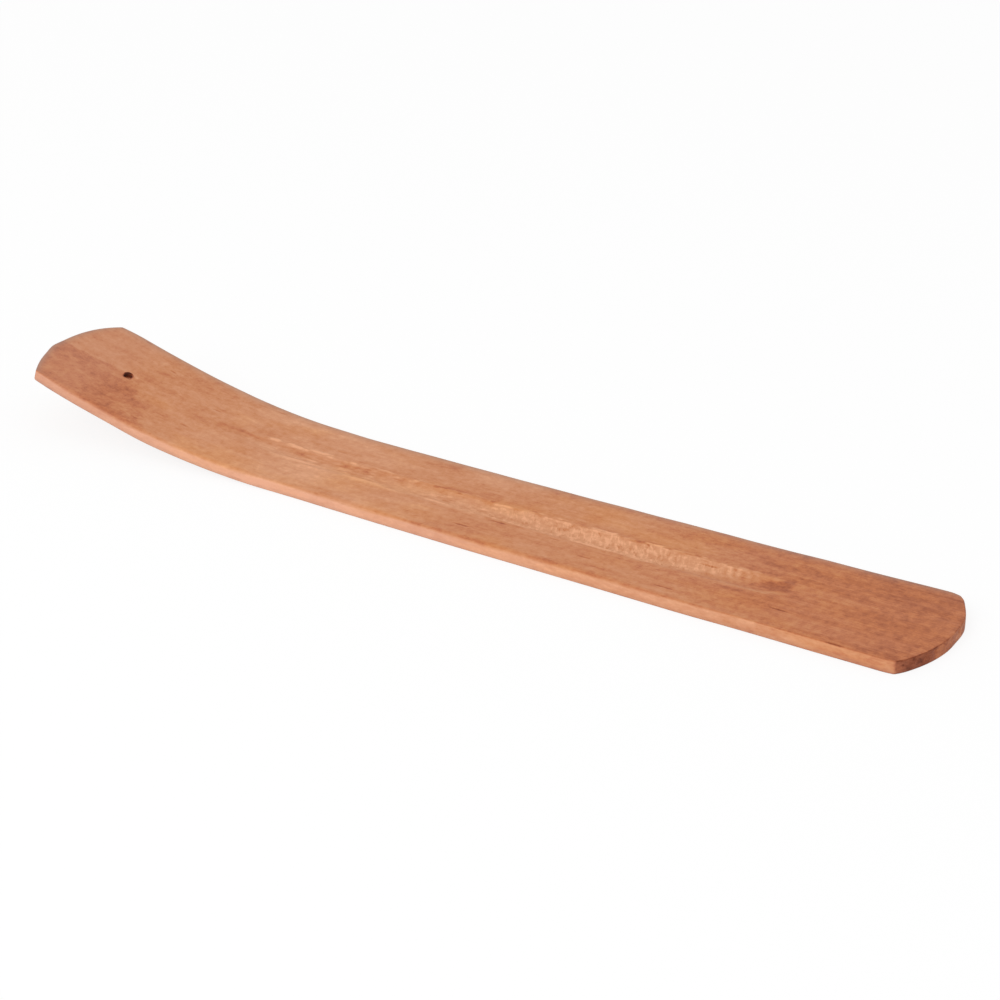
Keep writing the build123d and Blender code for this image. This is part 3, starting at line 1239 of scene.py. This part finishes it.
    def strayed(self, plan: np.ndarray) -> np.ndarray:
        """Points of the true plan, moved as the hand-cut outline strays from it.

        The near edge has a short waist and the far edge a long one that ends at a narrow tip. The tip has a
        blunt point and comes forward on its far side, and the flat end has its far side set back and its
        corners blunted. Across the slat, the shift runs evenly from the near edge's to the far edge's. Along
        it, each end's shift fades into the slat as a bell.

        Args:
            plan: Distances along, from the tip, and across.

        Returns:
            The moved plan.
        """
        distance, across = self.length - plan[..., 0], plan[..., 1]
        near = heights(self.near_waves, distance, self.near_out)
        near = near + 0.1 * self.wear.line(distance, long=14.0, row=20.5)
        far = heights(self.far_waves, distance) + 0.1 * self.wear.line(distance, long=14.0, row=24.5)
        tip = self.tip_point.at(across) + self.tip_forward * smooth_rise(across, *self.tip_slant)
        tip = tip - self.tip_back
        flat_end = heights(self.flat_end_waves, across, self.flat_end_out)
        flat_end = flat_end - self.flat_end_back * smooth_rise(across, *self.flat_end_slant)
        corner = np.hypot(distance - self.flat_end_crown, np.abs(across) - self.width / 2)
        blunt = bell(corner, 0.0, self.blunt_reach) * np.where(across > 0.0, self.blunt_far, self.blunt_near)
        share = 0.5 + across / self.width
        aside = share * far - (1.0 - share) * near - np.sign(across) * blunt
        forward = (flat_end - 0.6 * blunt) * bell(distance, 0.0, self.end_reach)
        forward = forward - tip * bell(distance, self.length, self.end_reach)
        return plan + np.stack([forward, aside], -1)

    def worn_rim(self) -> np.ndarray:
        """How much further the near upper rim is worn down: more or less, and not by the two ends.

        Returns:
            Depths of the wear at each foot.
        """
        distance = self.length - self.outline.foot[:, 0]
        near = np.clip(-self.outline.arrow[:, 1], 0.0, None) ** 2
        uneven = 0.42 + 0.34 * self.wear.line(distance, long=13.0, row=70.5)
        return near * uneven * smooth_rise(distance, 38.0, 76.0) * smooth_rise(distance, 248.0, 238.0)

    @staticmethod
    def shaded_top_rim(plan: np.ndarray) -> np.ndarray:
        """How much painted shade the top face has by its rims: it fades over about a millimetre from the far
        edge and from the tip.
        """
        from_far, from_tip = (np.linalg.norm(plan - side, axis=-1) for side in (plan[:, -1:], plan[:1]))
        return np.maximum(np.exp(-from_far / 1.1), np.exp(-from_tip / 0.8))

    def add_band(self, stock: MeshStock, faces: tuple[np.ndarray, np.ndarray],
                 levels: tuple[np.ndarray, np.ndarray],
                 eases: tuple[np.ndarray, np.ndarray, np.ndarray]) -> None:
        """Adds the band round the slat: a quarter circle off the top face, the wall, and another one below.

        A ring of a quarter circle stands out by its radius times the sine of the turn and drops by its radius
        times one less the cosine; where the rim is worn, the upper one is a wide and low ellipse. The wall
        between has fine saw waves on the long edges and deeper notches on the ends.

        Args:
            stock: The stock to add to.
            faces: Point numbers of the two broad faces' grids.
            levels: Heights of the two grids.
            eases: Radius of the rounding at each foot, above and below, and the wear of the upper one.
        """
        high, base = (rim_of(grid) for grid in levels)
        above, below, worn = eases
        turns = np.radians((22.5, 45.0, 67.5, 90.0))[:, None]
        shares = np.linspace(0.0, 1.0, 6)[1:-1, None]
        drop, width = above + worn, above + self.wear_width * worn
        wall_top, wall_low = high - drop, base + below
        wall = wall_top + (wall_low - wall_top) * shares
        end, run = self.outline.end, self.outline.run
        saw = 0.03 * self.saw.lumps(run, wall, long=0.8, wide=2.0)
        notch = -0.28 * smooth_rise(self.notch.lumps(run, wall, long=1.9, wide=2.6), 0.25, 0.85)
        out = np.concatenate([
            -width * (1.0 - np.sin(turns)),
            saw + end * notch,
            -below * (1.0 - np.sin(turns[::-1])),
        ])
        level = np.concatenate([
            high - drop * (1.0 - np.cos(turns)),
            wall,
            base + below * (1.0 - np.cos(turns[::-1])),
        ])
        upright = np.concatenate([np.sin(turns) ** 2, np.ones_like(shares), np.sin(turns[::-1]) ** 2])
        lower = np.concatenate([np.zeros_like(turns), smooth_rise(shares, 0.5, 0.95), np.ones_like(turns)])
        plan = self.strayed(self.outline.foot + self.outline.arrow * (self.corner + out)[..., None])
        rings = stock.add(plan[..., 0], plan[..., 1], level, self.band_marks(level, upright, lower))
        band = np.concatenate([rim_of(faces[0])[None], rings, rim_of(faces[1])[None]])
        stock.skin(np.concatenate([band, band[:, :1]], axis=1))

    def band_marks(self, level: np.ndarray, upright: np.ndarray,
                   lower: np.ndarray) -> dict[Mark, np.ndarray]:
        """Marks of the band: sawn long edges, end grain, painted shade on the far and tip rims, and dark
        places.

        The dark places are painted shade along the ends' arrises and the long arrises, a knot in the flat
        end's face and painted shade on the near lower edge. The flat end's grain and shaded line are strong
        by its near corner.

        Args:
            level: Heights of the rings' points.
            upright: How upright each ring is, 0 to 1.
            lower: How far each ring belongs to the lower edge, 0 to 1.

        Returns:
            The marks' values.
        """
        distance, across = self.length - self.outline.foot[:, 0], self.outline.foot[:, 1]
        out_x, out_y = self.outline.arrow.T
        end, run = self.outline.end, self.outline.run
        flat_end = out_x > 0.0
        grained = end * (1.0 - 0.8 * smooth_rise(across, -10.0, -5.0) * flat_end)
        lined = end * (1.0 - 0.8 * smooth_rise(across, -5.0, 3.0) * flat_end)
        arris = upright * (1.0 - upright)
        # painted shade along the ends' arrises, above and below
        line = 5.0 * arris * lined * (1.0 + 0.9 * self.notch.line(run, long=1.6, row=5.5))
        # painted shade along the long arrises, above and below, fading out by the tip
        dark_line = 2.0 * arris * (1.0 - end) * (1.0 + 0.8 * self.notch.line(run, long=4.0, row=15.5))
        dark_line = dark_line * smooth_rise(distance, 236.0, 210.0)
        knot = bell(across, self.knot_place[0], 0.9) * bell(level, self.knot_place[1], 0.6)
        # painted shade on the near lower edge
        shade = np.clip(-out_y, 0.0, None) ** 2 * lower
        # painted shade on the far and tip rims, above and below
        shaded_rim = (1.0 - upright) * (out_y > out_x)
        return {
            Mark.EDGE: upright ** (2.0 + 4.0 * smooth_rise(distance, 34.0, 76.0)) * (1.0 - end),
            Mark.END: upright * grained,
            Mark.RIM: shaded_rim + 0.3 * shade,
            Mark.DARK: line + dark_line + 1.3 * end * flat_end * knot + 0.8 * shade,
        }

    def add_hole(self, stock: MeshStock, faces: tuple[np.ndarray, np.ndarray],
                 plans: tuple[np.ndarray, np.ndarray], block: tuple[slice, slice]) -> None:
        """Adds the hole: rings from the gap in the top face to its wall, the wall, and rings below.

        Args:
            stock: The stock to add to.
            faces: Point numbers of the two broad faces' grids.
            plans: Plans of the two grids.
            block: Rows and columns of the gap.
        """
        loops = [rim_of(grid[block]) for grid in faces]
        above, drops, deep_above = self.hole.rings(rim_of(plans[0][block]))
        below, rises, deep_below = self.hole.rings(rim_of(plans[1][block]))
        high = self.top(above[..., 0], above[..., 1])[0] - drops
        base = self.underside(below[..., 0], below[..., 1]) + rises
        shares = np.linspace(0.0, 1.0, 8)[1:-1, None]
        wall_plan = above[-1] + (below[-1] - above[-1]) * shares[..., None]
        wall = high[-1] + (base[-1] - high[-1]) * shares
        plan = np.concatenate([above, wall_plan, below[::-1]])
        level = np.concatenate([high, wall, base[::-1]])
        # painted shade high on the hole's wall, painted light deep down, paler than the wood, and a little
        # painted shade on the lower lip
        hole_shade = self.hole.hole_shade * smooth_rise(shares, 0.45, 0.15) - smooth_rise(shares, 0.2, 0.5)
        deep = np.concatenate([deep_above, np.broadcast_to(hole_shade, wall.shape), 0.3 * deep_below[::-1]])
        pale = np.where(level > self.thickness / 2, self.hole.chip(plan[..., 0], plan[..., 1]), 0.0)
        rings = stock.add(plan[..., 0], plan[..., 1], level, {Mark.END: deep, Mark.TORN: pale})
        tube = np.concatenate([loops[0][None], rings, loops[1][None]])
        stock.skin(np.concatenate([tube, tube[:, :1]], axis=1)[:, ::-1])

    def build(self) -> bpy.types.Object:
        """Makes the slat's object from its stock, bent to its side view.

        Returns:
            The object, at the origin.
        """
        stock = self.stock()
        points = self.bend.place(np.concatenate(stock.points)) * MM
        mesh = bpy.data.meshes.new(self.name)
        mesh.from_pydata(points, [], np.concatenate(stock.faces))
        for mark, values in stock.marks.items():
            layer = mesh.attributes.new(mark.value, "FLOAT", "POINT")
            layer.data.foreach_set("value", np.concatenate(values).astype(np.float32))
        mesh.shade_smooth()
        mesh.update()
        made = bpy.data.objects.new(self.name, mesh)
        bpy.context.scene.collection.objects.link(made)
        return made

    def dress(self, slat: bpy.types.Object) -> None:
        """Gives the slat its finish, and its place in the frame.

        Args:
            slat: The slat's object.
        """
        slat.data.materials.append(self.finish.material())
        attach(slat, "root")
        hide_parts(self.node)


@dataclass
class Studio:
    """Pale floor, soft light and the camera at the photograph's angle."""

    azimuth: float = math.radians(33.2772)
    elevation: float = math.radians(25.1534)
    distance: float = 0.60153
    roll: float = math.radians(0.147)  # how far the picture is turned anticlockwise
    target: tuple[float, float, float] = (0.00386, 0.00975, 0.0)
    lens: float = 89.601
    sensor: float = 36.0
    ambient: float = 0.80
    floor_side: float = 8.0
    floor_white: float = 0.86  # share of plain white that the camera sees in the floor
    floor_paint: tuple[float, float, float, float] = (0.98, 0.98, 0.98, 1.0)
    clip: tuple[float, float] = (0.01, 50.0)  # nearest and furthest that the camera sees

    def add_camera(self) -> bpy.types.Object:
        """Adds the camera: it looks at the target from the azimuth and elevation, rolled a little.

        Returns:
            The camera.
        """
        data = bpy.data.cameras.new("camera")
        data.lens, data.sensor_width = self.lens, self.sensor
        data.clip_start, data.clip_end = self.clip
        camera = bpy.data.objects.new("camera", data)
        level, up = math.cos(self.elevation), math.sin(self.elevation)
        back = np.array((math.sin(self.azimuth) * level, -math.cos(self.azimuth) * level, up))
        camera.location = np.array(self.target) + back * self.distance
        upright = Euler((math.pi / 2 - self.elevation, 0.0, self.azimuth)).to_matrix()
        camera.rotation_euler = (upright @ Matrix.Rotation(-self.roll, 3, "Z")).to_euler()
        bpy.context.scene.collection.objects.link(camera)
        bpy.context.scene.camera = camera
        return camera

    def add_floor(self) -> bpy.types.Object:
        """Adds the floor: a wide flat sheet, white to the camera apart from the slat's soft shadow.

        Returns:
            The floor.
        """
        half = self.floor_side / 2
        corners = np.array([(-half, -half, 0.0), (half, -half, 0.0), (half, half, 0.0), (-half, half, 0.0)])
        mesh = bpy.data.meshes.new("floor")
        mesh.from_pydata(corners, [], [(0, 1, 2, 3)])
        floor = bpy.data.objects.new("floor", mesh)
        bpy.context.scene.collection.objects.link(floor)
        material = bpy.data.materials.new("white_floor")
        material.use_nodes = True
        sheet = NodeSheet(material.node_tree)
        paint = sheet.node("ShaderNodeBsdfDiffuse", {}, {"Color": self.floor_paint})
        glow = sheet.node("ShaderNodeEmission", {}, {"Color": WHITE, "Strength": 1.0})
        seen = self.seen_directly(sheet) * self.floor_white
        mixed = sheet.node("ShaderNodeMixShader", {}, {0: seen, 1: paint, 2: glow})
        sheet.node("ShaderNodeOutputMaterial", {}, {"Surface": mixed})
        mesh.materials.append(material)
        return floor

    @staticmethod
    def seen_directly(sheet: NodeSheet) -> Wire:
        """1 for rays from the camera and for mirrored and refracted ones, else 0."""
        path = sheet.node("ShaderNodeLightPath", {}, {}, "Is Camera Ray")
        return path.maths("MAXIMUM", path, path.maths("MAXIMUM", path.other("Is Glossy Ray"),
                                                      path.other("Is Transmission Ray")))

    def add_light(self) -> None:
        """Adds the even light of a white room and one large soft lamp in front."""
        world = bpy.data.worlds.new("white_room")
        bpy.context.scene.world = world
        world.use_nodes = True
        sheet = NodeSheet(world.node_tree)
        room, wall = (
            sheet.node("ShaderNodeBackground", {}, {"Color": WHITE, "Strength": strength})
            for strength in (self.ambient, 1.0)
        )
        mixed = sheet.node("ShaderNodeMixShader", {}, {0: self.seen_directly(sheet), 1: room, 2: wall})
        sheet.node("ShaderNodeOutputWorld", {}, {"Surface": mixed})
        self.add_lamp("front_lamp", azimuth=-8.0, elevation=36.0, distance=1.3, side=0.7, share=0.35)

    def add_lamp(self, name: str, azimuth: float, elevation: float, distance: float, side: float,
                 share: float) -> None:
        """Adds a square lamp that faces the slat.

        Its power is share times pi squared times the distance squared, so that a face square to it gets that
        share of the light at which a colour renders as it is written.

        Args:
            name: The lamp's name.
            azimuth: Where it stands, in degrees from -Y towards +X.
            elevation: How high it stands, in degrees.
            distance: How far away it stands.
            side: Length of its sides.
            share: Its share of the light.
        """
        data = bpy.data.lights.new(name, "AREA")
        data.shape, data.size = "SQUARE", side
        data.energy = share * math.pi**2 * distance**2
        lamp = bpy.data.objects.new(name, data)
        turn, rise = math.radians(azimuth), math.radians(elevation)
        level = distance * math.cos(rise)
        lamp.location = (level * math.sin(turn), -level * math.cos(turn), distance * math.sin(rise))
        lamp.rotation_euler = (math.pi / 2 - rise, 0.0, turn)
        bpy.context.scene.collection.objects.link(lamp)


def main() -> None:
    """Builds the slat and the studio."""
    logging.basicConfig(level=logging.INFO, format="%(name)s: %(message)s")
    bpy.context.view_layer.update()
    holder = CarvedSlat()
    slat = holder.build()
    holder.dress(slat)
    log.info("%s: %d points, %d faces", slat.name, len(slat.data.vertices), len(slat.data.polygons))
    studio = Studio()
    studio.add_floor()
    studio.add_light()
    studio.add_camera()
    log.info("studio: floor, room light, lamp and camera")
    bpy.context.scene.view_settings.view_transform = "Standard"


if __name__ == "__main__":
    main()
